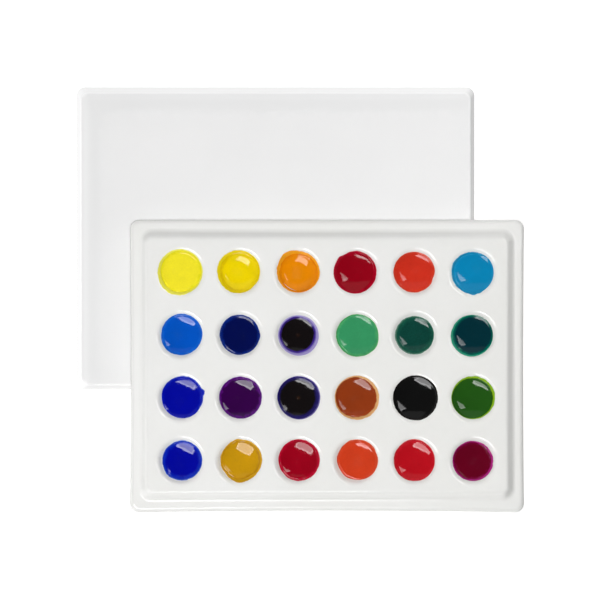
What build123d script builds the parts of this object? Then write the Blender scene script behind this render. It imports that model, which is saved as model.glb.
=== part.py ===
from build123d import *

import math
import os

# Covered porcelain palette, in millimetres, +Z up. The tray lies on top of its own lid, turned
# aside from it. The origin is on the table, under the middle of the box round both pieces.

# Lid: a shallow box, open below, with a rounded shoulder round its flat top
LID_LENGTH = 239.0
LID_WIDTH = 181.5
LID_HEIGHT = 14.0
LID_CORNER = 5.5
LID_DRAFT = 10.0
LID_SHOULDER = 1.5
LID_WALL = 6.5
LID_ROOF = 4.5
LID_INNER_CORNER = 3.0
LID_INNER_DRAFT = 3.0
LID_INNER_SHOULDER = 3.0
LID_RIM_ROUND = 0.6

# Tray: a flat-bottomed slab, a flange that the lid's rim lands on, and a raised field
TRAY_LENGTH = 236.0
TRAY_WIDTH = 176.0
TRAY_CORNER = 5.5
SIDE_BOW = 0.8
FLANGE_TOP = 8.0
FLANGE_ROUND = 2.7
BASE_ROUND = 1.0
FIELD_LENGTH = 223.0
FIELD_WIDTH = 161.5
FIELD_CORNER = 8.0
FIELD_RISE = 6.0
FIELD_DRAFT = 30.0
FIELD_BOW = 0.6
FIELD_FOOT = 3.6
FIELD_SHOULDER = 3.2

# Wells: round bowls in the field, each a part of a sphere whose centre is above the field
WELL_COLUMNS = 6
WELL_ROWS = 4
COLUMN_PITCH = 35.0
ROW_PITCH = 37.6
WELL_SPHERE = 16.0
WELL_CENTRE_RISE = 8.3
WELL_LIP = 3.0

# Paint: fills each bowl to a level of its own, with a hollow top where it has sunk as it dried
PAINT_GAP = 0.05
PAINT_DISH = 1.5

# Where the two pieces lie: the lid's middle, seen from the tray's, and the gap between them
LID_ASIDE = Vector(-30.9, 77.0)
RESTING_GAP = 0.3

# Each paint's name and the radius of its top edge, row by row from the back left
PAINTS = [
    [
        ("lemon_yellow", 13.0),
        ("warm_yellow", 13.0),
        ("orange", 12.8),
        ("crimson", 12.7),
        ("vermilion", 12.6),
        ("cerulean_blue", 12.7),
    ],
    [
        ("cobalt_blue", 12.3),
        ("navy", 11.9),
        ("violet_black", 11.5),
        ("emerald", 12.6),
        ("viridian", 11.4),
        ("deep_teal", 12.4),
    ],
    [
        ("ultramarine", 12.3),
        ("purple", 12.4),
        ("indigo_black", 12.6),
        ("burnt_sienna", 12.7),
        ("black", 13.2),
        ("sap_green", 12.7),
    ],
    [
        ("royal_blue", 11.7),
        ("ochre", 12.8),
        ("carmine", 12.5),
        ("red_orange", 12.1),
        ("scarlet", 12.2),
        ("maroon", 11.9),
    ],
]

# The box round both pieces as they lie, from the tray's middle, and the tray and lid from its middle
left = min(-TRAY_LENGTH / 2, LID_ASIDE.X - LID_LENGTH / 2)
right = max(TRAY_LENGTH / 2, LID_ASIDE.X + LID_LENGTH / 2)
front = min(-TRAY_WIDTH / 2, LID_ASIDE.Y - LID_WIDTH / 2)
back = max(TRAY_WIDTH / 2, LID_ASIDE.Y + LID_WIDTH / 2)
tray_x = -(left + right) / 2
tray_y = -(front + back) / 2
lid_x = tray_x + LID_ASIDE.X
lid_y = tray_y + LID_ASIDE.Y

tray_base = LID_HEIGHT + RESTING_GAP
flange_z = tray_base + FLANGE_TOP
field_z = flange_z + FIELD_RISE
well_centre_z = field_z + WELL_CENTRE_RISE


def rectangle_outline(plane, length, width, corner):
    """A rectangle with round corners, drawn on a plane."""
    with BuildSketch(plane) as outline:
        RectangleRounded(length, width, corner)
    return outline.sketch


def bowed_outline(plane, length, width, corner, bow):
    """A rectangle with round corners, whose sides draw in by bow at their middles."""
    half_length = length / 2
    half_width = width / 2
    with BuildSketch(plane) as outline:
        with BuildLine():
            ThreePointArc(
                (-half_length, -half_width), (0, bow - half_width), (half_length, -half_width)
            )
            ThreePointArc(
                (half_length, -half_width), (half_length - bow, 0), (half_length, half_width)
            )
            ThreePointArc(
                (half_length, half_width), (0, half_width - bow), (-half_length, half_width)
            )
            ThreePointArc(
                (-half_length, half_width), (bow - half_length, 0), (-half_length, -half_width)
            )
        make_face()
        fillet(outline.vertices(), corner)
    return outline.sketch


os.makedirs("parts", exist_ok=True)

# Lid
lid_outside = rectangle_outline(Plane((lid_x, lid_y, 0)), LID_LENGTH, LID_WIDTH, LID_CORNER)
lid_inside = rectangle_outline(
    Plane((lid_x, lid_y, 0)), LID_LENGTH - 2 * LID_WALL, LID_WIDTH - 2 * LID_WALL, LID_INNER_CORNER
)
with BuildPart() as lid:
    extrude(lid_outside, amount=LID_HEIGHT, taper=LID_DRAFT)
    fillet(lid.faces().sort_by(Axis.Z)[-1].edges(), LID_SHOULDER)
    extrude(lid_inside, amount=LID_HEIGHT - LID_ROOF, taper=LID_INNER_DRAFT, mode=Mode.SUBTRACT)
    ceiling = lid.faces().filter_by(Plane.XY).sort_by(Axis.Z)[-2]
    fillet(ceiling.edges(), LID_INNER_SHOULDER)
    fillet(lid.faces().sort_by(Axis.Z)[0].edges(), LID_RIM_ROUND)
lid.part.label = "lid"
export_step(lid.part, "parts/lid.step")

# Tray
slab_outline = bowed_outline(
    Plane((tray_x, tray_y, tray_base)), TRAY_LENGTH, TRAY_WIDTH, TRAY_CORNER, SIDE_BOW
)
field_outline = bowed_outline(
    Plane((tray_x, tray_y, flange_z)), FIELD_LENGTH, FIELD_WIDTH, FIELD_CORNER, FIELD_BOW
)
with BuildPart() as tray:
    extrude(slab_outline, amount=FLANGE_TOP)
    fillet(tray.faces().sort_by(Axis.Z)[-1].edges(), FLANGE_ROUND)
    fillet(tray.faces().sort_by(Axis.Z)[0].edges(), BASE_ROUND)
    extrude(field_outline, amount=FIELD_RISE, taper=FIELD_DRAFT)
    fillet(tray.faces().sort_by(Axis.Z)[-1].edges(), FIELD_SHOULDER)
    flange = tray.faces().filter_by(Plane.XY).sort_by(Axis.Z)[-2]
    fillet(flange.inner_wires().edges(), FIELD_FOOT)
    with Locations((tray_x, tray_y, well_centre_z)):
        with GridLocations(COLUMN_PITCH, ROW_PITCH, WELL_COLUMNS, WELL_ROWS):
            Sphere(WELL_SPHERE, mode=Mode.SUBTRACT)
    fillet(tray.faces().sort_by(Axis.Z)[-1].inner_wires().edges(), WELL_LIP)
tray.part.label = "tray"
export_step(tray.part, "parts/tray.step")


def paint_fill(name, x, y, edge_radius):
    """One well's paint: the bowl's shape below, and a shallow dish on top out to its edge."""
    radius = WELL_SPHERE - PAINT_GAP
    edge_z = well_centre_z - math.sqrt(radius**2 - edge_radius**2)
    bottom_z = well_centre_z - radius
    bowl_angle = math.atan2(edge_z - well_centre_z, edge_radius)
    half_angle = (bowl_angle - math.pi / 2) / 2
    bowl_middle = (radius * math.cos(half_angle), well_centre_z + radius * math.sin(half_angle))
    dish_z = edge_z - PAINT_DISH
    dish_radius = (edge_radius**2 + PAINT_DISH**2) / (2 * PAINT_DISH)
    dish_middle_z = dish_z + dish_radius - math.sqrt(dish_radius**2 - (edge_radius / 2) ** 2)
    section_plane = Plane((x, y, 0), x_dir=(1, 0, 0), z_dir=(0, -1, 0))
    with BuildPart() as paint:
        with BuildSketch(section_plane):
            with BuildLine():
                Line((0, bottom_z), (0, dish_z))
                ThreePointArc((0, dish_z), (edge_radius / 2, dish_middle_z), (edge_radius, edge_z))
                ThreePointArc((edge_radius, edge_z), bowl_middle, (0, bottom_z))
            make_face()
        revolve(axis=Axis((x, y, 0), (0, 0, 1)))
    paint.part.label = name
    export_step(paint.part, f"parts/{name}.step")


# Paints
for row, paints in enumerate(PAINTS):
    paint_y = tray_y + ROW_PITCH * ((WELL_ROWS - 1) / 2 - row)
    for column, (colour, edge_radius) in enumerate(paints):
        paint_x = tray_x + COLUMN_PITCH * (column - (WELL_COLUMNS - 1) / 2)
        paint_fill(f"paint_{colour}", paint_x, paint_y, edge_radius)
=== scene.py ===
import math
import random

import bpy
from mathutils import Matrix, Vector, noise


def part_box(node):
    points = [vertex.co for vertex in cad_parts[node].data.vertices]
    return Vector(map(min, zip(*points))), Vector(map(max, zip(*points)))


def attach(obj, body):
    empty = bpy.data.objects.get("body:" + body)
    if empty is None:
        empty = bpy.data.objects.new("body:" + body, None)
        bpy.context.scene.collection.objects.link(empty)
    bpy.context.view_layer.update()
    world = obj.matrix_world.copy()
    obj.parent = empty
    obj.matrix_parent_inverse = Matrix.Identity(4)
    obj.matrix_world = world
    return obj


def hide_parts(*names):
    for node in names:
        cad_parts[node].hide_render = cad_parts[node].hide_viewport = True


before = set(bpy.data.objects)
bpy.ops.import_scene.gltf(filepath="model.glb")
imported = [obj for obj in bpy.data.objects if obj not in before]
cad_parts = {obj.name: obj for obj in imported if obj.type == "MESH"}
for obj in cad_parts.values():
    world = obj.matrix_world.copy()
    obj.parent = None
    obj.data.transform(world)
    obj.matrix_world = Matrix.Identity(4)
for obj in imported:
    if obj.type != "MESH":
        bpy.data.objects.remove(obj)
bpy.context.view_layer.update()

MM = 0.001

# Sizes of the porcelain that are the CAD model's own, in millimetres
FIELD_RISE = 6.0
FLANGE_TOP = 8.0
FLANGE_ROUND = 2.7
BASE_ROUND = 1.0
TRAY_CORNER = 5.5
FIELD_SHOULDER = 3.2
FIELD_FOOT = 3.6
FIELD_SLOPE = math.radians(60)
COLUMNS = 6
ROWS = 4
COLUMN_PITCH = 35.0
ROW_PITCH = 37.6
WELL_SPHERE = 16.0
WELL_CENTRE_RISE = 8.3
LID_SHOULDER = 1.5
LID_DRAFT = math.radians(10)
LID_INNER_DRAFT = math.radians(3)
LID_WALL = 6.5
LID_ROOF = 4.5
LID_INNER_SHOULDER = 3.0
LID_INNER_CORNER = 3.0
RIM_ROUND = 0.6

# Where the fired tray leaves the CAD model's plain shape, inside its box: softer lips, a flange and
# walls of their own width on each side, and sides drawn in at their middles. The bows are those of
# the ends, the front and the back.
WELL_LIP = 4.2
FLANGE_WIDTH = 4.6
WALL_ENDS = 6.6
WALL_FRONT = 7.8
WALL_BACK = 7.6
FRONT_DRAWN_IN = 0.6
FRONT_FLANGE_EXTRA = 0.9
BOWS = (0.5, 1.1, 0.05)
FIELD_BOWS = (0.25, 0.4, 0.4)
FIELD_CORNER = 2.7
FOOT_CORNER = 8.4
CORNER_TIGHTENING = 0.4
OUTLINE_EXTRA_X = 0.03
OUTLINE_EXTRA_Y = -0.02
FIELD_SINK = 0.06
FIELD_SWELL = 0.013
FIELD_SWELL_SEED = 3.7

# Where the fired lid does: its left and back walls lean in, its face sinks and swells a little, and
# rolls off towards three edges, by a depth and over a distance
LID_LEFT_IN = 0.5
LID_BACK_IN = 1.2
LID_CORNER = 5.2
LID_CORNER_TIGHTENING = 2.2
LID_SINK = 0.08
LID_SWELL_DEPTH = 0.03
LID_SWELL = 0.012
LID_SWELL_SEED = 9.1
LID_LEFT_ROLL = (1.5, 2.6)
LID_BACK_ROLL = (1.0, 2.8)
LID_FRONT_ROLL = (0.4, 2.0)
# a loop low on the lid's wall, inset and height, that keeps the rim's rounding off the wall
WALL_FOOT = (0.18, 1.5)
# the lid's underside is bare clay below this height, in metres
LID_BARE_BELOW = 0.0004

# How the meshes are divided. A cell is the piece of field round one well, and the outer ones are cut
# short.
CELL_PARTS = 18
CELL_SPREAD = math.radians(46)
CELL_CUT_X = 1.4
CELL_CUT_Y = 2.4
CELL_BLENDS = (0.35, 0.7)
LIP_PARTS = 7
SLOPE_PARTS = 7
FLANGE_PARTS = 9
BASE_PARTS = 5
CORNER_PARTS = 12
LID_PARTS_X = 48
LID_PARTS_Y = 36
LID_SHOULDER_PARTS = 12
LID_RIM_PARTS = 4
LID_INNER_PARTS = 6
BASE_MARGIN = 6.0
LID_MARGIN = 1.5
QUARTER = math.pi / 2

lid_low, lid_high = [Vector(corner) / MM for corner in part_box("lid")]
tray_low, tray_high = [Vector(corner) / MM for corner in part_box("tray")]
lid_x = (lid_low.x + lid_high.x) / 2
lid_y = (lid_low.y + lid_high.y) / 2
lid_half_x = (lid_high.x - lid_low.x) / 2
lid_half_y = (lid_high.y - lid_low.y) / 2
lid_height = lid_high.z - lid_low.z
tray_x = (tray_low.x + tray_high.x) / 2
tray_y = (tray_low.y + tray_high.y) / 2
base_z = tray_low.z
field_z = tray_high.z
flange_z = base_z + FLANGE_TOP
outline_x = (tray_high.x - tray_low.x) / 2 + OUTLINE_EXTRA_X
outline_y = (tray_high.y - tray_low.y) / 2 + OUTLINE_EXTRA_Y

# The lip is an arc from the bowl to the field: how far from a well's middle it meets each
lip_radius = math.sqrt((WELL_SPHERE + WELL_LIP) ** 2 - (WELL_CENTRE_RISE + WELL_LIP) ** 2)
lip_start = lip_radius * WELL_SPHERE / (WELL_SPHERE + WELL_LIP)

# How far the field's wall reaches in from the flange, as its rounds and slope would have it
wall_run = (
    FIELD_RISE - (FIELD_SHOULDER + FIELD_FOOT) * (1 - math.cos(FIELD_SLOPE))
) / math.tan(FIELD_SLOPE)
wall_width = (FIELD_SHOULDER + FIELD_FOOT) * math.sin(FIELD_SLOPE) + wall_run

# How far in from its rim the lid's flat top starts
lid_top_inset = lid_height * math.tan(LID_DRAFT)
lid_top_inset += LID_SHOULDER * math.tan((QUARTER - LID_DRAFT) / 2)


def well_height(distance):
    """Height of the glaze against the field, at a distance from a well's middle."""
    if distance < lip_start:
        return WELL_CENTRE_RISE - math.sqrt(WELL_SPHERE**2 - distance**2)
    if distance < lip_radius:
        return math.sqrt(WELL_LIP**2 - (lip_radius - distance) ** 2) - WELL_LIP
    return 0.0


def warp(x, y):
    """How far the fired field has sunk at a place on it."""
    swell = noise.noise(Vector((x * FIELD_SWELL, y * FIELD_SWELL, FIELD_SWELL_SEED)))
    return -FIELD_SINK - FIELD_SINK * swell


def roll(depth_and_reach, distance):
    """How far an edge that rolls off has sunk, at a distance in from it."""
    depth, reach = depth_and_reach
    return depth * math.exp(-max(0.0, distance) / reach)


def sag(x, y):
    """How far the lid's face has sunk: over its middle, and rolling off towards its edges."""
    swell = noise.noise(Vector((x * LID_SWELL, y * LID_SWELL, LID_SWELL_SEED)))
    share_x = min(1.0, abs(x) / lid_half_x)
    share_y = min(1.0, abs(y) / lid_half_y)
    from_left = lid_half_x - lid_top_inset - LID_LEFT_IN + x
    from_back = lid_half_y - lid_top_inset - LID_BACK_IN - y
    from_front = lid_half_y - lid_top_inset + y
    rolled = roll(LID_LEFT_ROLL, from_left)
    rolled += roll(LID_BACK_ROLL, from_back) + roll(LID_FRONT_ROLL, from_front)
    sunk = -LID_SINK * (1 - share_x**2) * (1 - share_y**2) - LID_SWELL_DEPTH * (1 + swell)
    return sunk - rolled


# Mesh building


class Shell:
    """Points and faces of one closed piece, gathered loop by loop."""

    def __init__(self):
        self.points = []
        self.faces = []
        self.known = {}

    def point(self, x, y, z):
        self.points.append((x, y, z))
        return len(self.points) - 1

    def shared(self, x, y, z):
        """A point that neighbouring cells have in common."""
        key = (round(x, 4), round(y, 4))
        if key not in self.known:
            self.known[key] = self.point(x, y, z)
        return self.known[key]

    def loop(self, points):
        return [self.point(*p) for p in points]

    def bridge(self, inner, outer):
        for i in range(len(inner)):
            j = (i + 1) % len(inner)
            self.faces.append((inner[i], outer[i], outer[j], inner[j]))

    def fan(self, middle, ring):
        for i in range(len(ring)):
            self.faces.append((middle, ring[i], ring[(i + 1) % len(ring)]))

    def sheet(self, grid, faces_up):
        for front, back in zip(grid, grid[1:]):
            for i in range(len(front) - 1):
                if faces_up:
                    self.faces.append((front[i], front[i + 1], back[i + 1], back[i]))
                else:
                    self.faces.append((front[i], back[i], back[i + 1], front[i + 1]))

    def join(self, border, ring, along, outward=True):
        """Faces between a grid's square-cornered border and a ring with round corners."""
        total = len(border)
        at = 0
        ring_at = 0
        for side in range(4):
            for _ in range(len(along[side % 2]) - 1):
                a = border[at % total]
                b = border[(at + 1) % total]
                c = ring[ring_at]
                d = ring[ring_at + 1]
                self.faces.append((a, c, d, b) if outward else (b, d, c, a))
                at += 1
                ring_at += 1
            corner = border[at % total]
            for _ in range(CORNER_PARTS):
                c = ring[ring_at % len(ring)]
                d = ring[(ring_at + 1) % len(ring)]
                self.faces.append((corner, c, d) if outward else (corner, d, c))
                ring_at += 1

    def close_below(self, middle, half, z, along, ring):
        """A flat face, turned down, that fills a ring."""
        grid = [
            [
                self.point(middle[0] + half[0] * (2 * sx - 1), middle[1] + half[1] * (2 * sy - 1), z)
                for sx in along[0]
            ]
            for sy in along[1]
        ]
        self.join(grid_edge(grid), ring, along, False)
        self.sheet(grid, False)

    def finish(self, name, material, body, *nodes):
        mesh = bpy.data.meshes.new(name)
        mesh.from_pydata([(x * MM, y * MM, z * MM) for x, y, z in self.points], [], self.faces)
        mesh.validate()
        mesh.polygons.foreach_set("use_smooth", [True] * len(mesh.polygons))
        mesh.materials.append(material)
        piece = bpy.data.objects.new(name, mesh)
        bpy.context.scene.collection.objects.link(piece)
        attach(piece, body)
        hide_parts(*nodes)
        return piece


def steps(parts, end=1.0):
    return [end * i / parts for i in range(parts + 1)]


def arc(turns, inset, z, along, up):
    """Points of a round whose level end is at an inset and height, by the turns made from there."""
    return [(inset + along * math.sin(turn), z + up * (1 - math.cos(turn))) for turn in turns]


def grid_edge(grid):
    """The border of a grid, anticlockwise from the front left."""
    border = grid[0][:]
    border += [row[-1] for row in grid[1:]]
    border += grid[-1][-2::-1]
    border += [row[0] for row in grid[-2:0:-1]]
    return border


def rounded_loop(middle, half, radius, z, along, bows=(0.0, 0.0, 0.0)):
    """A rectangle with round corners, anticlockwise from the front left.

    The bows say how far the ends, the front and the back are drawn in at their middles.
    """
    half_x, half_y = half
    along_x, along_y = along
    straight_x = half_x - radius
    straight_y = half_y - radius
    sides = [
        (along_x, (-straight_x, -half_y), (straight_x, -half_y), (straight_x, -straight_y), -90),
        (along_y, (half_x, -straight_y), (half_x, straight_y), (straight_x, straight_y), 0),
        (along_x, (straight_x, half_y), (-straight_x, half_y), (-straight_x, straight_y), 90),
        (along_y, (-half_x, straight_y), (-half_x, -straight_y), (-straight_x, -straight_y), 180),
    ]
    flat = []
    for shares, start, end, turning, first_angle in sides:
        for share in shares:
            flat.append(
                (start[0] + (end[0] - start[0]) * share, start[1] + (end[1] - start[1]) * share)
            )
        for i in range(1, CORNER_PARTS):
            angle = math.radians(first_angle + 90 * i / CORNER_PARTS)
            flat.append((turning[0] + radius * math.cos(angle), turning[1] + radius * math.sin(angle)))
    points = []
    for px, py in flat:
        bow = bows[1] if py < 0 else bows[2]
        in_x = 1 - bows[0] / half_x * (1 - min(1, (py / half_y) ** 2))
        in_y = 1 - bow / half_y * (1 - min(1, (px / half_x) ** 2))
        points.append((middle[0] + px * in_x, middle[1] + py * in_y, z))
    return points


# Tray

# Radii of the rings round a well, through its bowl and then its lip
well_radii = [0.9, 2.4, 4.2, 6.0, 7.8, 9.3, 10.4, 11.2, 11.9, 12.5, lip_start]
lip_turns = steps(LIP_PARTS, math.asin((lip_radius - lip_start) / WELL_LIP))
well_radii += [lip_radius - WELL_LIP * math.sin(turn) for turn in reversed(lip_turns[:-1])]


def field_point(x, y, drop=0.0):
    return (tray_x + x, tray_y + y, field_z + warp(x, y) + drop)


def cell_spots(pitch, count, inner):
    """Places along the field, cell by cell, spaced evenly in angle as seen from each well."""
    shares = [
        0.5 + 0.5 * math.tan(CELL_SPREAD * (2 * i / CELL_PARTS - 1)) / math.tan(CELL_SPREAD)
        for i in range(CELL_PARTS)
    ]
    lines = [-inner] + [pitch * (i - count / 2) for i in range(1, count)] + [inner]
    found = []
    for low, high in zip(lines, lines[1:]):
        found += [low + (high - low) * share for share in shares]
    return found + [inner]


def add_well(shell, middle_x, middle_y, spots_x, spots_y):
    """One bowl and its lip, and the field round it out to its cell's border."""
    edge = grid_edge([[(px, py) for px in spots_x] for py in spots_y])
    border = [shell.shared(*field_point(px, py)) for px, py in edge]
    turns = [math.atan2(py - middle_y, px - middle_x) for px, py in edge]
    rings = []
    for radius in well_radii:
        drop = well_height(radius)
        rings.append(
            shell.loop(
                field_point(
                    middle_x + radius * math.cos(turn), middle_y + radius * math.sin(turn), drop
                )
                for turn in turns
            )
        )
    for share in CELL_BLENDS:
        ring = []
        for (px, py), turn in zip(edge, turns):
            lip_x = middle_x + lip_radius * math.cos(turn)
            lip_y = middle_y + lip_radius * math.sin(turn)
            spot = field_point(lip_x + (px - lip_x) * share, lip_y + (py - lip_y) * share)
            ring.append(shell.point(*spot))
        rings.append(ring)
    rings.append(border)
    shell.fan(shell.point(*field_point(middle_x, middle_y, well_height(0))), rings[0])
    for inner, outer in zip(rings, rings[1:]):
        shell.bridge(inner, outer)


def tray_profile():
    """From the field's edge out and down to the base: distance in from the outline, and height."""
    slope = steps(SLOPE_PARTS, FIELD_SLOPE)
    top_inset = FLANGE_WIDTH + wall_width
    profile = arc(slope, top_inset, field_z, -FIELD_SHOULDER, -FIELD_SHOULDER)
    profile += arc(reversed(slope), FLANGE_WIDTH, flange_z, FIELD_FOOT, FIELD_FOOT)
    turns = steps(FLANGE_PARTS, QUARTER)
    profile += arc(turns, FLANGE_ROUND, flange_z, -FLANGE_ROUND, -FLANGE_ROUND)
    turns = reversed(steps(BASE_PARTS, QUARTER))
    return profile + arc(turns, BASE_ROUND, base_z, -BASE_ROUND, BASE_ROUND)


def tray_loop(inset, z, along):
    """One level of the tray's side. Each side has its own width of wall, and of flange in front."""
    on_wall = max(0.0, (inset - FLANGE_WIDTH) / wall_width)
    on_flange = min(1.0, inset / FLANGE_WIDTH)
    radius = TRAY_CORNER - CORNER_TIGHTENING * inset
    if inset > FLANGE_WIDTH:
        radius = FOOT_CORNER + (FIELD_CORNER - FOOT_CORNER) * on_wall
    level_in = min(inset, FLANGE_WIDTH)
    ends_in = level_in + WALL_ENDS * on_wall
    front_in = level_in + WALL_FRONT * on_wall + FRONT_DRAWN_IN + FRONT_FLANGE_EXTRA * on_flange
    back_in = level_in + WALL_BACK * on_wall
    loop = rounded_loop(
        (tray_x, tray_y + (front_in - back_in) / 2),
        (outline_x - ends_in, outline_y - (front_in + back_in) / 2),
        radius,
        z,
        along,
        [bow + (field_bow - bow) * on_flange for bow, field_bow in zip(BOWS, FIELD_BOWS)],
    )
    lift = max(0.0, (z - base_z) / (field_z - base_z))
    return [(px, py, pz + warp(px - tray_x, py - tray_y) * lift) for px, py, pz in loop]


def build_tray(material):
    shell = Shell()
    inner_x = COLUMN_PITCH * COLUMNS / 2 - CELL_CUT_X
    inner_y = ROW_PITCH * ROWS / 2 - CELL_CUT_Y
    spots_x = cell_spots(COLUMN_PITCH, COLUMNS, inner_x)
    spots_y = cell_spots(ROW_PITCH, ROWS, inner_y)
    for row in range(ROWS):
        for column in range(COLUMNS):
            middle_x = COLUMN_PITCH * (column - (COLUMNS - 1) / 2)
            middle_y = ROW_PITCH * (row - (ROWS - 1) / 2)
            cell_x = spots_x[column * CELL_PARTS : (column + 1) * CELL_PARTS + 1]
            cell_y = spots_y[row * CELL_PARTS : (row + 1) * CELL_PARTS + 1]
            add_well(shell, middle_x, middle_y, cell_x, cell_y)

    edge = grid_edge([[(px, py) for px in spots_x] for py in spots_y])
    border = [shell.shared(*field_point(px, py)) for px, py in edge]
    along = (
        [(px + inner_x) / (2 * inner_x) for px in spots_x],
        [(py + inner_y) / (2 * inner_y) for py in spots_y],
    )
    rings = [shell.loop(tray_loop(inset, z, along)) for inset, z in tray_profile()]
    shell.join(border, rings[0], along)
    for inner, outer in zip(rings, rings[1:]):
        shell.bridge(inner, outer)
    base_half = (outline_x - BASE_MARGIN, outline_y - BASE_MARGIN)
    shell.close_below((tray_x, tray_y), base_half, base_z, along, rings[-1])
    return shell.finish("porcelain_tray", material, "palette", "tray")


# Lid


def build_lid(material):
    shell = Shell()
    along = tuple(
        [0.5 - 0.5 * math.cos(math.pi * share) for share in steps(parts)]
        for parts in (LID_PARTS_X, LID_PARTS_Y)
    )
    ceiling = lid_height - LID_ROOF
    inner_turn = QUARTER - LID_INNER_DRAFT
    inner_inset = LID_WALL + ceiling * math.tan(LID_INNER_DRAFT)
    inner_inset += LID_INNER_SHOULDER * math.tan(inner_turn / 2)
    rim_turns = steps(LID_RIM_PARTS, QUARTER)

    # outside, from the flat top out and down to the rim, then up inside to the ceiling
    turns = steps(LID_SHOULDER_PARTS, QUARTER - LID_DRAFT)
    outside = arc(turns, lid_top_inset, lid_height, -LID_SHOULDER, -LID_SHOULDER)
    outside.append(WALL_FOOT)
    outside += arc(reversed(rim_turns), RIM_ROUND, 0.0, -RIM_ROUND, RIM_ROUND)
    inside = arc(rim_turns, LID_WALL - RIM_ROUND, 0.0, RIM_ROUND, RIM_ROUND)
    turns = reversed(steps(LID_INNER_PARTS, inner_turn))
    inside += arc(turns, inner_inset, ceiling, -LID_INNER_SHOULDER, -LID_INNER_SHOULDER)

    def level(inset, z, radius):
        lift = max(0.0, min(1.0, z / lid_height))
        left_in = LID_LEFT_IN / 2 * lift
        back_in = LID_BACK_IN / 2 * lift
        loop = rounded_loop(
            (lid_x + left_in, lid_y - back_in),
            (lid_half_x - inset - left_in, lid_half_y - inset - back_in),
            radius,
            z,
            along,
        )
        return shell.loop((px, py, pz + sag(px - lid_x, py - lid_y) * lift) for px, py, pz in loop)

    # the face is as far in as its walls: the left and back ones lean in more than the others
    face_x = lid_half_x - lid_top_inset - LID_LEFT_IN / 2 - LID_MARGIN
    face_y = lid_half_y - lid_top_inset - LID_BACK_IN / 2 - LID_MARGIN
    spots_x = [LID_LEFT_IN / 2 + face_x * (2 * share - 1) for share in along[0]]
    spots_y = [face_y * (2 * share - 1) - LID_BACK_IN / 2 for share in along[1]]
    face = [
        [shell.point(lid_x + px, lid_y + py, lid_height + sag(px, py)) for px in spots_x]
        for py in spots_y
    ]
    shell.sheet(face, True)
    rings = []
    for inset, z in outside:
        tightening = LID_CORNER_TIGHTENING * (inset - 1) / lid_top_inset
        rings.append(level(inset, z, LID_CORNER - max(0.0, tightening)))
    rings += [level(inset, z, LID_INNER_CORNER) for inset, z in inside]
    shell.join(grid_edge(face), rings[0], along)
    for inner, outer in zip(rings, rings[1:]):
        shell.bridge(inner, outer)
    roof_half = (lid_half_x - inner_inset - LID_MARGIN, lid_half_y - inner_inset - LID_MARGIN)
    shell.close_below((lid_x, lid_y), roof_half, ceiling, along, rings[-1])
    return shell.finish("porcelain_lid", material, "lid", "lid")


# Materials

# the range that most of a noise texture's values lie in
USUAL = (0.3, 0.7)
GLAZE_IOR = 1.52
PAINT_IOR = 1.47
CLAY_ROUGHNESS = 0.75
# a surface faces down where its normal's height is less than this
FACES_DOWN = -0.92
# specks: their cells' scale, which cells have one, where one starts to fade and ends, and its share
SPECK_SCALE = 60
SPECK_CHANCE_ABOVE = 0.965
SPECK_REACH = (0.012, 0.022)
SPECK_SHARE = 0.28


def srgb(red, green, blue):
    """A colour given in 0 to 255 display values, as linear light with full alpha."""

    def linear(value):
        share = value / 255
        return share / 12.92 if share <= 0.04045 else ((share + 0.055) / 1.055) ** 2.4

    return (linear(red), linear(green), linear(blue), 1.0)


class Nodes:
    """Short names for making and joining the nodes of a material, a light or a world."""

    def __init__(self, tree):
        self.tree = tree

    def add(self, kind, **values):
        node = self.tree.nodes.new(kind)
        for key, value in values.items():
            setattr(node, key, value)
        return node

    def link(self, source, target):
        self.tree.links.new(source, target)

    def give(self, socket, value):
        """Sets a socket to a plain value, or joins it to another node's output."""
        if isinstance(value, (tuple, float, int)):
            socket.default_value = value
        else:
            self.link(value, socket)

    def parts(self, vector):
        node = self.add("ShaderNodeSeparateXYZ")
        self.link(vector, node.inputs[0])
        return node.outputs

    def noise(self, place, scale, detail=2.0, rough=0.5):
        node = self.add("ShaderNodeTexNoise")
        node.inputs["Scale"].default_value = scale
        node.inputs["Detail"].default_value = detail
        node.inputs["Roughness"].default_value = rough
        self.link(place, node.inputs["Vector"])
        return node.outputs["Fac"]

    def fit(self, value, found, wanted):
        """A value moved from the range it is found in to the wanted one."""
        node = self.add("ShaderNodeMapRange")
        for at, number in enumerate((*found, *wanted)):
            node.inputs[at + 1].default_value = number
        self.link(value, node.inputs[0])
        return node.outputs[0]

    def maths(self, operation, first, second):
        node = self.add("ShaderNodeMath", operation=operation)
        self.give(node.inputs[0], first)
        self.give(node.inputs[1], second)
        return node.outputs[0]

    def mix(self, share, first, second):
        node = self.add("ShaderNodeMix", data_type="RGBA")
        self.give(node.inputs[0], share)
        self.give(node.inputs[6], first)
        self.give(node.inputs[7], second)
        return node.outputs[2]

    def ramp(self, value, stops):
        node = self.add("ShaderNodeValToRGB")
        self.link(value, node.inputs["Fac"])
        elements = node.color_ramp.elements
        while len(elements) < len(stops):
            elements.new(0.5)
        for element, (at, colour) in zip(elements, stops):
            element.position = at
            element.color = colour
        return node.outputs["Color"]

    def bump(self, height, distance, strength, below=None):
        node = self.add("ShaderNodeBump")
        node.inputs["Strength"].default_value = strength
        node.inputs["Distance"].default_value = distance
        self.link(height, node.inputs["Height"])
        if below is not None:
            self.link(below, node.inputs["Normal"])
        return node.outputs["Normal"]


class Surface(Nodes):
    """A new material's nodes."""

    def __init__(self, name):
        self.material = bpy.data.materials.new(name)
        self.material.use_nodes = True
        super().__init__(self.material.node_tree)
        self.sockets = self.tree.nodes["Principled BSDF"].inputs

    def coordinates(self):
        return self.add("ShaderNodeTexCoord").outputs["Object"]


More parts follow.
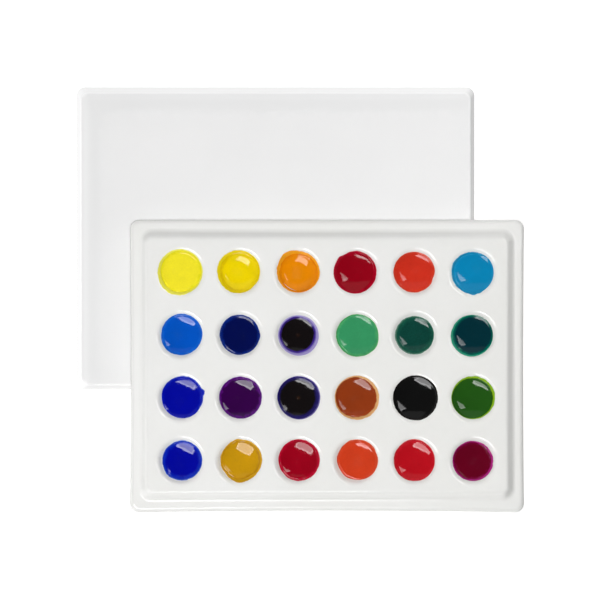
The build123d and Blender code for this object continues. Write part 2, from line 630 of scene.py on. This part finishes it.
def glaze_material(name, colour, shade, bare_below=None):
    """White glaze: faint pooling tints, orange peel, rare specks, and bare clay where it faces down.

    With a height given, in metres, the clay is bare only below it.
    """
    nodes = Surface(name)
    place = nodes.coordinates()
    drift = nodes.noise(place, scale=14, detail=3)
    tint = nodes.mix(nodes.fit(drift, (0.35, 0.65), (0.0, 1.0)), colour, shade)

    specks = nodes.add("ShaderNodeTexVoronoi")
    specks.inputs["Scale"].default_value = SPECK_SCALE
    nodes.link(place, specks.inputs["Vector"])
    chance = nodes.add("ShaderNodeSeparateColor")
    nodes.link(specks.outputs["Color"], chance.inputs[0])
    rare = nodes.maths("GREATER_THAN", chance.outputs[0], SPECK_CHANCE_ABOVE)
    near = nodes.fit(specks.outputs["Distance"], SPECK_REACH, (1.0, 0.0))
    speck = nodes.maths("MULTIPLY", rare, near)
    tint = nodes.mix(nodes.maths("MULTIPLY", speck, SPECK_SHARE), tint, srgb(120, 112, 100))

    facing = nodes.parts(nodes.add("ShaderNodeNewGeometry").outputs["True Normal"])
    bare = nodes.maths("LESS_THAN", facing["Z"], FACES_DOWN)
    if bare_below is not None:
        low = nodes.maths("LESS_THAN", nodes.parts(place)["Z"], bare_below)
        bare = nodes.maths("MULTIPLY", bare, low)
    grain = nodes.noise(place, scale=900, detail=3)
    clay = nodes.mix(grain, srgb(222, 217, 208), srgb(236, 232, 225))
    nodes.link(nodes.mix(bare, tint, clay), nodes.sockets["Base Color"])

    gloss = nodes.fit(nodes.noise(place, scale=45, detail=3), USUAL, (0.07, 0.13))
    rough = nodes.add("ShaderNodeMix")
    nodes.link(bare, rough.inputs[0])
    nodes.link(gloss, rough.inputs[2])
    rough.inputs[3].default_value = CLAY_ROUGHNESS
    nodes.link(rough.outputs[0], nodes.sockets["Roughness"])
    nodes.sockets["IOR"].default_value = GLAZE_IOR

    normal = nodes.bump(nodes.noise(place, scale=32), distance=0.0006, strength=0.35)
    peel = nodes.noise(place, scale=190)
    normal = nodes.bump(peel, distance=0.00006, strength=0.5, below=normal)
    nodes.link(normal, nodes.sockets["Normal"])
    return nodes.material


def paint_material(paint):
    """Wet paint: body colour, a ring at its edge, and a film that thins out to the glaze."""
    nodes = Surface(f"{paint['name']}_wet")
    place = nodes.coordinates()

    # the band is 0 at the pool's middle, 1 at its edge and 2 at the film's, and wanders near its edge
    band = nodes.add("ShaderNodeAttribute", attribute_name="band").outputs["Fac"]
    wander = nodes.fit(nodes.noise(place, scale=380, detail=3), USUAL, (-0.5, 0.5))
    outwards = nodes.fit(band, (0.7, 1.2), (0.05 * paint["wander"], 0.25 * paint["wander"]))
    band = nodes.maths("ADD", band, nodes.maths("MULTIPLY", wander, outwards))

    # along the ramp the pool's edge is at half, and the film's at one
    body_end = 0.47 - 0.09 * paint["soft"]
    ring_end = 0.88 - 0.3 * paint["soft"]
    film_start = 0.9
    if paint["film_from"]:
        ring_end = 0.53
        film_start = paint["film_from"]
    stops = [
        (0.0, paint["mark"] or paint["body"]),
        (0.07, paint["body"]),
        (body_end, paint["body"]),
        (0.51, paint["ring"]),
        (ring_end, paint["ring"]),
        (film_start, paint["film"]),
        (0.93, paint["film"]),
        (1.0, GLAZE),
    ]
    stops = [(at, srgb(*colour)) for at, colour in stops]
    colour = nodes.ramp(nodes.maths("MULTIPLY", band, 0.5), stops)

    cloud = nodes.noise(place, scale=70, detail=5, rough=0.62)
    grain = nodes.noise(place, scale=900, detail=2, rough=0.6)
    streak = nodes.fit(cloud, USUAL, (0.93, 1.07))
    speckle = nodes.fit(grain, USUAL, (1 - paint["grain"], 1 + paint["grain"]))
    scale = nodes.add("ShaderNodeVectorMath", operation="SCALE")
    nodes.link(colour, scale.inputs[0])
    nodes.link(nodes.maths("MULTIPLY", streak, speckle), scale.inputs["Scale"])
    nodes.link(scale.outputs[0], nodes.sockets["Base Color"])

    skin = nodes.noise(place, scale=260, detail=3)
    normal = nodes.bump(nodes.noise(place, scale=90), distance=0.0005, strength=0.4)
    normal = nodes.bump(skin, distance=0.00004, strength=0.5, below=normal)
    nodes.link(normal, nodes.sockets["Normal"])
    nodes.link(nodes.fit(skin, USUAL, (0.04, 0.08)), nodes.sockets["Roughness"])
    nodes.sockets["IOR"].default_value = PAINT_IOR
    return nodes.material


# Paints, row by row from the back left. Colours are display values: the body's, the ring's at the
# pool's edge and the film's on the glaze. Lengths are in millimetres: the outline's radius, its
# middle's offset from the well's, the film's width and how deep the pool's skin dips. A lobe is a
# bulge of the outline: its direction in degrees, its reach and its half width in degrees. The
# film is widest towards its side, a direction in degrees, by its sway.
PAINTS = [
    dict(name="paint_lemon_yellow", body=(244, 229, 44), ring=(226, 216, 20), film=(240, 234, 90),
         radius=13.5, offset=(-0.4, 0.3), film_width=1.5, side=235, sway=0.5, dish=1.2,
         lobes=[(240, 1.0, 45), (90, 0.3, 40)], film_from=0.6),
    dict(name="paint_warm_yellow", body=(237, 210, 0), ring=(222, 190, 0), film=(236, 214, 20),
         radius=13.0, offset=(-0.5, 0.4), film_width=1.5, side=190, sway=0.5, dish=2.3,
         lean=0.7, power=3.6, lobes=[(160, 0.3, 30), (315, -0.3, 12)], film_from=0.62),
    dict(name="paint_orange", body=(229, 136, 0), ring=(224, 124, 0), film=(240, 164, 34),
         radius=12.8, offset=(0.05, 0.5), film_width=1.4, side=125, sway=0.6, dish=2.3,
         lean=1.1, power=3.6, lobes=[(128, 0.9, 22), (75, -0.3, 20), (350, 0.4, 30)], film_from=0.58),
    dict(name="paint_crimson", body=(146, 0, 22), ring=(170, 0, 34), film=(204, 60, 90),
         radius=12.9, offset=(-0.75, 0.05), film_width=0.9, side=20, sway=0.5, dish=1.78, lean=-0.4,
         lobes=[(138, 0.5, 8), (118, -0.35, 10), (85, 0.25, 10)]),
    dict(name="paint_vermilion", body=(203, 48, 30), ring=(206, 58, 36), film=(222, 110, 80),
         radius=12.4, offset=(-0.4, 0.15), film_width=0.7, side=300, sway=0.4, dish=1.76, lean=-0.65,
         lobes=[(340, -0.55, 11)]),
    dict(name="paint_cerulean_blue", body=(6, 132, 181), ring=(20, 140, 186), film=(80, 172, 202),
         radius=12.7, offset=(-0.5, -0.2), film_width=0.9, side=150, sway=0.6, dish=1.6, lean=-0.7,
         lobes=[(272, 0.9, 8), (290, 0.5, 8), (146, 0.5, 20)]),
    dict(name="paint_cobalt_blue", body=(0, 82, 190), ring=(14, 96, 202), film=(90, 150, 220),
         radius=12.5, offset=(0.45, 0.45), film_width=0.8, side=200, sway=0.4, dish=1.5, lean=0.8,
         lobes=[(215, 0.25, 30)]),
    dict(name="paint_navy", body=(0, 10, 76), ring=(0, 34, 122), film=(50, 90, 170),
         radius=12.1, offset=(0.15, 0.3), film_width=0.8, side=190, sway=0.4, dish=0.9,
         lobes=[(356, 0.4, 9)]),
    dict(name="paint_violet_black", body=(15, 11, 12), ring=(70, 44, 150), film=(168, 156, 214),
         radius=12.25, offset=(0.35, -0.1), film_width=1.7, side=310, sway=0.35, dish=1.27, lean=0.4,
         lobes=[(300, 0.3, 30)], film_from=0.74, soft=0.3, wander=0.25, mark=(40, 22, 14)),
    dict(name="paint_emerald", body=(54, 147, 96), ring=(70, 160, 98), film=(130, 196, 120),
         radius=12.8, offset=(0.6, -0.15), film_width=0.8, side=180, sway=0.5, dish=1.55,
         lobes=[(330, 0.5, 20)]),
    dict(name="paint_viridian", body=(10, 64, 55), ring=(20, 84, 66), film=(86, 140, 118),
         radius=11.7, offset=(-0.2, -0.05), film_width=1.2, side=200, sway=0.3, dish=1.45, lean=-0.3,
         lobes=[], soft=0.8, grain=0.12),
    dict(name="paint_deep_teal", body=(0, 45, 54), ring=(0, 104, 84), film=(44, 160, 128),
         radius=12.6, offset=(-0.85, -0.3), film_width=0.8, side=220, sway=0.5, dish=1.55, lean=-0.9,
         lobes=[(200, 0.2, 30)], wander=0.4, film_from=0.66),
    dict(name="paint_ultramarine", body=(0, 6, 153), ring=(4, 24, 172), film=(70, 96, 204),
         radius=12.65, offset=(0.9, 0.6), film_width=0.9, side=60, sway=0.4, dish=1.42, lean=1.5,
         lobes=[(14, 1.5, 8), (60, 0.35, 14), (190, -0.2, 30)]),
    dict(name="paint_purple", body=(50, 0, 68), ring=(84, 8, 116), film=(134, 70, 170),
         radius=12.8, offset=(0.75, 0.3), film_width=0.9, side=150, sway=0.3, dish=1.6, lean=1.3,
         lobes=[]),
    dict(name="paint_indigo_black", body=(16, 12, 13), ring=(34, 26, 100), film=(112, 98, 176),
         radius=12.95, offset=(0.65, 0.35), film_width=1.2, side=330, sway=0.4, dish=1.43, lean=1.1,
         lobes=[(280, 0.3, 40)], soft=0.5, wander=0.25, mark=(46, 28, 16)),
    dict(name="paint_burnt_sienna", body=(142, 56, 20), ring=(150, 62, 24), film=(224, 172, 112),
         radius=13.35, offset=(0.3, 0.15), film_width=1.5, side=320, sway=0.4, dish=1.66, lean=0.7,
         lobes=[(330, 0.3, 30)], film_from=0.64),
    dict(name="paint_black", body=(13, 13, 13), ring=(14, 13, 12), film=(44, 34, 26),
         radius=13.55, offset=(0.45, 0.15), film_width=0.9, side=0, sway=0.4, dish=1.73, lean=0.25,
         lobes=[(285, 0.2, 12), (250, -0.15, 12)]),
    dict(name="paint_sap_green", body=(33, 83, 20), ring=(40, 92, 16), film=(140, 184, 30),
         radius=13, offset=(-0.15, 0.25), film_width=1.0, side=30, sway=0.7, dish=1.76, lean=0.5,
         lobes=[(20, 0.4, 40)], film_from=0.62),
    dict(name="paint_royal_blue", body=(0, 5, 152), ring=(6, 40, 178), film=(74, 116, 210),
         radius=12.1, offset=(0.8, 0.2), film_width=1.2, side=200, sway=0.3, dish=1.43, lean=1.0,
         lobes=[(225, 0.3, 20)], soft=0.6),
    dict(name="paint_ochre", body=(195, 145, 12), ring=(176, 124, 8), film=(208, 160, 24),
         radius=12.6, offset=(1.1, 0.4), film_width=1.3, side=235, sway=0.6, dish=1.75,
         lean=1.4, power=2.3,
         lobes=[(262, 1.1, 22), (100, 0.6, 10), (145, -0.4, 16), (215, -0.3, 10)], film_from=0.6),
    dict(name="paint_carmine", body=(150, 0, 25), ring=(182, 4, 44), film=(210, 60, 90),
         radius=12.55, offset=(0.75, 0.45), film_width=0.9, side=250, sway=0.5, dish=1.6, lean=0.95,
         lobes=[(225, -0.2, 10)]),
    dict(name="paint_red_orange", body=(208, 62, 30), ring=(208, 68, 36), film=(224, 130, 96),
         radius=12.3, offset=(0.85, 0.7), film_width=0.8, side=200, sway=0.4, dish=1.3, lean=0.6,
         lobes=[(235, 0.35, 14), (20, -0.3, 12), (175, 0.3, 10), (115, 0.3, 12)]),
    dict(name="paint_scarlet", body=(183, 14, 28), ring=(196, 24, 40), film=(220, 104, 104),
         radius=12.5, offset=(-0.3, 0.35), film_width=0.8, side=120, sway=0.4, dish=1.69, lean=0.5,
         lobes=[(100, 0.15, 20)]),
    dict(name="paint_maroon", body=(98, 0, 27), ring=(122, 0, 60), film=(170, 10, 122),
         radius=12.15, offset=(-0.35, -0.05), film_width=1.1, side=350, sway=0.5, dish=0.8,
         lobes=[(340, 0.25, 50)], film_from=0.62),
]
# What the rows leave out: how soft the ring's edges are, how strong the grain is, the colour of a
# mark in the middle, how far the skin's lowest place leans to the front left, the power with which
# the skin rises from there, how far the ring wanders, and where on the ramp a wide film starts
DEFAULTS = {
    "soft": 0.35,
    "grain": 0.03,
    "mark": None,
    "lean": 0.0,
    "power": 2,
    "wander": 1.0,
    "film_from": None,
}
GLAZE = (236, 236, 234)

# How far a pool follows its film's lobes and offset, which way it leans, how many points go round
# it, and the waves of its outline and of its film's width
POOL_LOBE_SHARE = 0.5
POOL_DRIFT = 0.45
LEAN_TURN = math.radians(220)
PAINT_TURNS = 120
OUTLINE_WAVES = (2, 3, 5, 8)
OUTLINE_WAVE_HEIGHT = 0.22
FILM_WAVES = (2, 5, 9)
FILM_WAVE_SHARE = 0.25
FILM_LEAST_SHARE = 0.25

# The rings of a pool's skin and where it starts to rise to the pool's edge, the rings of the film
# with their heights over the glaze, and those of the underside, all as shares of the way out
POOL_RINGS = (0.06, 0.16, 0.27, 0.38, 0.49, 0.59, 0.68, 0.76, 0.83, 0.88, 0.92, 0.96, 0.985, 1.0)
EDGE_FROM = 0.92
EDGE_WIDTH = 0.08
EDGE_HEIGHT = 0.12
FILM_RINGS = ((0.12, 0.11), (0.35, 0.09), (0.6, 0.075), (0.85, 0.055), (1.0, 0.03))
UNDERSIDE_RINGS = (1.0, 0.95, 0.85, 0.7, 0.5, 0.25, 0.08)
UNDERSIDE_HEIGHT = -0.05


def draw_waves(seeded, counts, least, height):
    """Waves round an outline: how many go round it, their phase and their height."""
    waves = []
    for count in counts:
        phase = seeded.uniform(0, 2 * math.pi)
        waves.append((count, phase, seeded.uniform(least, 1.0) * height / count))
    return waves


def wave_at(waves, turn):
    return sum(height * math.cos(count * turn + phase) for count, phase, height in waves)


def between(starts, ends, share):
    return [
        (sx + (ex - sx) * share, sy + (ey - sy) * share) for (sx, sy), (ex, ey) in zip(starts, ends)
    ]


def on_glaze(spots, height):
    return [well_height(math.hypot(x, y)) + height for x, y in spots]


def build_paint(paint, row, column):
    """A pool whose skin dips in the middle, with a film that climbs the glaze round it."""
    seeded = random.Random(100 + row * COLUMNS + column)
    waves = draw_waves(seeded, OUTLINE_WAVES, 0.4, OUTLINE_WAVE_HEIGHT)
    film_waves = draw_waves(seeded, FILM_WAVES, 0.5, 1.0)
    middle_x = COLUMN_PITCH * (column - (COLUMNS - 1) / 2)
    middle_y = ROW_PITCH * ((ROWS - 1) / 2 - row)
    dx, dy = paint["offset"]
    turns = [2 * math.pi * i / PAINT_TURNS for i in range(PAINT_TURNS)]

    def bulge(turn):
        total = 0.0
        for direction, reach, width in paint["lobes"]:
            away = (math.degrees(turn) - direction + 180) % 360 - 180
            total += reach * math.exp(-((away / width) ** 2))
        return total

    def film_width(turn):
        lean = paint["sway"] * math.cos(turn - math.radians(paint["side"]))
        share = 1 + lean + FILM_WAVE_SHARE * wave_at(film_waves, turn)
        return paint["film_width"] * max(FILM_LEAST_SHARE, share)

    def outline(radii, x, y):
        return [(x + r * math.cos(turn), y + r * math.sin(turn)) for r, turn in zip(radii, turns)]

    ragged = [paint["radius"] + wave_at(waves, turn) for turn in turns]
    film = [radius + bulge(turn) for radius, turn in zip(ragged, turns)]
    pool = [
        radius + POOL_LOBE_SHARE * bulge(turn) - film_width(turn)
        for radius, turn in zip(ragged, turns)
    ]
    middle_at = (POOL_DRIFT * dx, POOL_DRIFT * dy)
    film_at = outline(film, dx, dy)
    pool_at = outline(pool, *middle_at)
    middles = [middle_at] * PAINT_TURNS

    edge_heights = on_glaze(pool_at, EDGE_HEIGHT)
    level = sum(edge_heights) / len(edge_heights)
    reach = sum(pool) / len(pool)
    low_x = middle_at[0] + paint["lean"] * math.cos(LEAN_TURN)
    low_y = middle_at[1] + paint["lean"] * math.sin(LEAN_TURN)

    def skin_height(x, y):
        away = math.hypot(x - low_x, y - low_y) / reach
        return level + paint["dish"] * (away ** paint["power"] - 1)

    def place(x, y, height):
        field = field_z + warp(middle_x + x, middle_y + y)
        return (tray_x + middle_x + x, tray_y + middle_y + y, field + height)

    shell = Shell()
    bands = []

    def ring(spots, heights, band):
        bands.extend([band] * len(spots))
        return shell.loop(place(x, y, height) for (x, y), height in zip(spots, heights))

    rings = []
    for share in POOL_RINGS:
        rise = max(0.0, (share - EDGE_FROM) / EDGE_WIDTH)
        rise = rise * rise * (3 - 2 * rise)
        spots = between(middles, pool_at, share)
        heights = []
        for (x, y), edge_height in zip(spots, edge_heights):
            dip = skin_height(x, y)
            heights.append(dip + (edge_height - dip) * rise)
        rings.append(ring(spots, heights, share))
    for share, height in FILM_RINGS:
        spots = between(pool_at, film_at, share)
        rings.append(ring(spots, on_glaze(spots, height), 1 + share))
    for share in UNDERSIDE_RINGS:
        spots = between(middles, film_at, share)
        rings.append(ring(spots, on_glaze(spots, UNDERSIDE_HEIGHT), 2.0))
    for inner, outer in zip(rings, rings[1:]):
        shell.bridge(inner, outer)
    top = shell.point(*place(*middle_at, skin_height(*middle_at)))
    bottom = shell.point(*place(*middle_at, *on_glaze([middle_at], UNDERSIDE_HEIGHT)))
    bands.extend([0.0, 2.0])
    for i in range(PAINT_TURNS):
        j = (i + 1) % PAINT_TURNS
        shell.faces.append((top, rings[0][i], rings[0][j]))
        shell.faces.append((bottom, rings[-1][j], rings[-1][i]))
    piece = shell.finish(f"wet_{paint['name']}", paint_material(paint), "palette", paint["name"])
    attribute = piece.data.attributes.new("band", "FLOAT", "POINT")
    attribute.data.foreach_set("value", bands)
    return piece


tray_glaze = glaze_material("tray_glaze", srgb(237, 237, 235), srgb(235, 235, 232))
porcelain = [build_tray(tray_glaze)]
lid_glaze = glaze_material("lid_glaze", srgb(237, 237, 237), srgb(235, 235, 235), LID_BARE_BELOW)
porcelain.append(build_lid(lid_glaze))
paints = [{**DEFAULTS, **chosen} for chosen in PAINTS]
wet_paints = [
    build_paint(paint, index // COLUMNS, index % COLUMNS) for index, paint in enumerate(paints)
]


# Floor, lights and camera. Lengths are in metres, the camera's own in millimetres.

FLOOR_REACH = 6.0
FLOOR_Z = -0.0002
FLOOR_GLOW = 0.6
CAMERA_SENSOR = 36
CAMERA_LENS = 1000
VIEW_WIDTH = 0.36
# a paint that leans by more than this, in millimetres, shows the side window lower in its skin, so
# its own side window stands nearer overhead
LEANS_MUCH = 0.75
LEANING_WINDOW_SHARE = 0.83
# a window's border, from its middle, and the strength inside it and what the border adds
WINDOW_BORDER = 0.42
WINDOW_INSIDE = 0.7
WINDOW_BORDER_ADDS = 0.6


def make_floor():
    nodes = Surface("studio_floor")
    nodes.sockets["Base Color"].default_value = (0.9, 0.9, 0.9, 1)
    nodes.sockets["Roughness"].default_value = 0.9
    nodes.sockets["Specular IOR Level"].default_value = 0.0
    nodes.sockets["Emission Color"].default_value = (1, 1, 1, 1)
    nodes.sockets["Emission Strength"].default_value = FLOOR_GLOW
    mesh = bpy.data.meshes.new("studio_floor")
    corners = [(-1, -1), (1, -1), (1, 1), (-1, 1)]
    corners = [(x * FLOOR_REACH, y * FLOOR_REACH, FLOOR_Z) for x, y in corners]
    mesh.from_pydata(corners, [], [(0, 1, 2, 3)])
    mesh.materials.append(nodes.material)
    floor = bpy.data.objects.new("studio_floor", mesh)
    floor.visible_diffuse = False
    floor.visible_glossy = False
    bpy.context.scene.collection.objects.link(floor)


def group(name, pieces):
    collection = bpy.data.collections.new(name)
    for piece in pieces:
        collection.objects.link(piece)
    return collection


def window_glow(light, tapered):
    """A softbox seen in the gloss: brighter round its border, and cut to a triangle if tapered."""
    light.use_nodes = True
    nodes = Nodes(light.node_tree)
    spot = nodes.parts(nodes.add("ShaderNodeNewGeometry").outputs["Parametric"])
    across = nodes.maths("ABSOLUTE", nodes.maths("SUBTRACT", spot["X"], 0.5), 0.0)
    along = nodes.maths("ABSOLUTE", nodes.maths("SUBTRACT", spot["Y"], 0.5), 0.0)
    border = nodes.maths("GREATER_THAN", nodes.maths("MAXIMUM", across, along), WINDOW_BORDER)
    added = nodes.maths("MULTIPLY", border, WINDOW_BORDER_ADDS)
    strength = nodes.maths("ADD", WINDOW_INSIDE, added)
    if tapered:
        inside = nodes.maths("LESS_THAN", spot["Y"], spot["X"])
        strength = nodes.maths("MULTIPLY", strength, inside)
    nodes.link(strength, nodes.tree.nodes["Emission"].inputs["Strength"])


def area_light(name, place, target, size, radiance, only=None, in_gloss=False, shadow=True):
    """A rectangular softbox of an even radiance, turned to face a target.

    It lights matt surfaces, or is seen in the gloss instead.
    """
    light = bpy.data.lights.new(name, "AREA")
    light.shape = "RECTANGLE"
    light.size = size[0]
    light.size_y = size[1]
    light.energy = radiance * math.pi * size[0] * size[1]
    light.use_shadow = shadow
    lamp = bpy.data.objects.new(name, light)
    lamp.location = place
    lamp.rotation_euler = (Vector(target) - Vector(place)).to_track_quat("-Z", "Y").to_euler()
    lamp.visible_diffuse = not in_gloss
    lamp.visible_glossy = in_gloss
    lamp.visible_camera = False
    if only is not None:
        lamp.light_linking.receiver_collection = only
    bpy.context.scene.collection.objects.link(lamp)
    return light


def make_lights():
    middle = Vector((tray_x, tray_y, field_z)) * MM
    lid_middle = Vector((lid_x, lid_y, lid_high.z)) * MM
    up = Vector((0, 0, 1))
    glazes = group("glazes", porcelain)
    all_paints = group("paints", wet_paints)
    tray_and_paints = group("tray_and_paints", porcelain[:1] + wet_paints)
    lid_only = group("lid_only", porcelain[1:])
    leaning = [piece for piece, paint in zip(wet_paints, paints) if paint["lean"] > LEANS_MUCH]
    level = [piece for piece in wet_paints if piece not in leaning]
    leaning_paints = group("leaning", leaning)
    level_paints = group("level", level)

    area_light("overhead", middle + Vector((0, 0, 2.5)), middle, (0.5, 0.5), 44.1)
    place = middle + 1.6 * Vector((-0.5, -0.53, 0.68))
    area_light("fill", place, middle, (0.5, 0.5), 13.0, tray_and_paints, shadow=False)
    place = middle + Vector((0.6, 0.7, 0.4))
    area_light("back_fill", place, middle, (0.4, 0.4), 4.1, tray_and_paints, shadow=False)
    place = lid_middle + Vector((0.75, 0.3, 0.9))
    area_light("lid_fill", place, lid_middle, (0.4, 0.4), 5.7, lid_only, shadow=False)
    place = lid_middle + Vector((0.6, 0.3, 1.4))
    area_light("lid_sky", place, place - up, (4.0, 4.0), 0.26, lid_only)
    for side, direction, radiance in (
        ("left", Vector((-1, -0.2, 0.02)), 14.5),
        ("back", Vector((0.1, 1, -0.1)), 10.0),
        ("front", Vector((-0.1, -1, 0.04)), 8.0),
        ("right", Vector((1, 0.1, -0.1)), 1.6),
    ):
        place = lid_middle + direction
        area_light(f"rim_{side}", place, lid_middle, (0.4, 0.25), radiance, lid_only, shadow=False)

    def window(name, offset, size, radiance, only):
        place = middle + Vector(offset)
        return area_light(name, place, middle, size, radiance, only, in_gloss=True)

    light = window("window_on_paint", (-0.52, -1.02, 1.52), (0.95, 1.0), 8.0, all_paints)
    window_glow(light, tapered=False)
    window("window_on_glaze", (-0.6, -0.87, 1.4), (1.15, 0.28), 22.5, glazes)
    window("window_end_on_glaze", (-0.03, -1.2, 1.4), (0.2, 0.28), 12.0, glazes)
    for receiver, only, sideways in (
        ("level", level_paints, 1.0),
        ("leaning", leaning_paints, LEANING_WINDOW_SHARE),
    ):
        offset = (0.65 * sideways, 0.25 * sideways, 1.62)
        light = window(f"side_window_on_{receiver}", offset, (0.47, 0.24), 6.0, only)
        window_glow(light, tapered=True)
    window("side_window_on_glaze", (0.66, 0.42, 1.42), (0.9, 0.22), 11.0, glazes)
    place = middle + Vector((-0.25, 1.56, 1.5))
    area_light("back_panel", place, place - up, (2.6, 2.1), 0.28, in_gloss=True)


def make_world():
    """Light from all round: bright from below, as from the floor, and dimmer from the right."""
    world = bpy.data.worlds.new("studio")
    world.use_nodes = True
    nodes = Nodes(world.node_tree)
    background = nodes.tree.nodes["Background"]
    direction = nodes.parts(nodes.add("ShaderNodeTexCoord").outputs["Generated"])
    height = nodes.fit(direction["Z"], (-1.0, 1.0), (0.0, 1.0))
    stops = [(0.0, 0.9), (0.4, 1.4), (0.48, 1.4), (0.53, 0.7), (0.62, 0.2), (0.97, 0.05)]
    colour = nodes.ramp(height, [(at, (value, value, value, 1)) for at, value in stops])
    nodes.link(colour, background.inputs["Color"])
    strength = nodes.fit(direction["X"], (0.1, 0.75), (1.0, 0.3))
    nodes.link(strength, background.inputs["Strength"])
    bpy.context.scene.world = world


def make_camera():
    camera = bpy.data.cameras.new("camera")
    camera.sensor_width = CAMERA_SENSOR
    camera.lens = CAMERA_LENS
    camera.clip_end = 50
    seat = bpy.data.objects.new("camera", camera)
    seat.location = (0.0, 0.0, VIEW_WIDTH * camera.lens / camera.sensor_width)
    bpy.context.scene.collection.objects.link(seat)
    bpy.context.scene.camera = seat


make_floor()
make_lights()
make_world()
make_camera()
scene = bpy.context.scene
scene.view_settings.view_transform = "Standard"
scene.view_settings.look = "None"
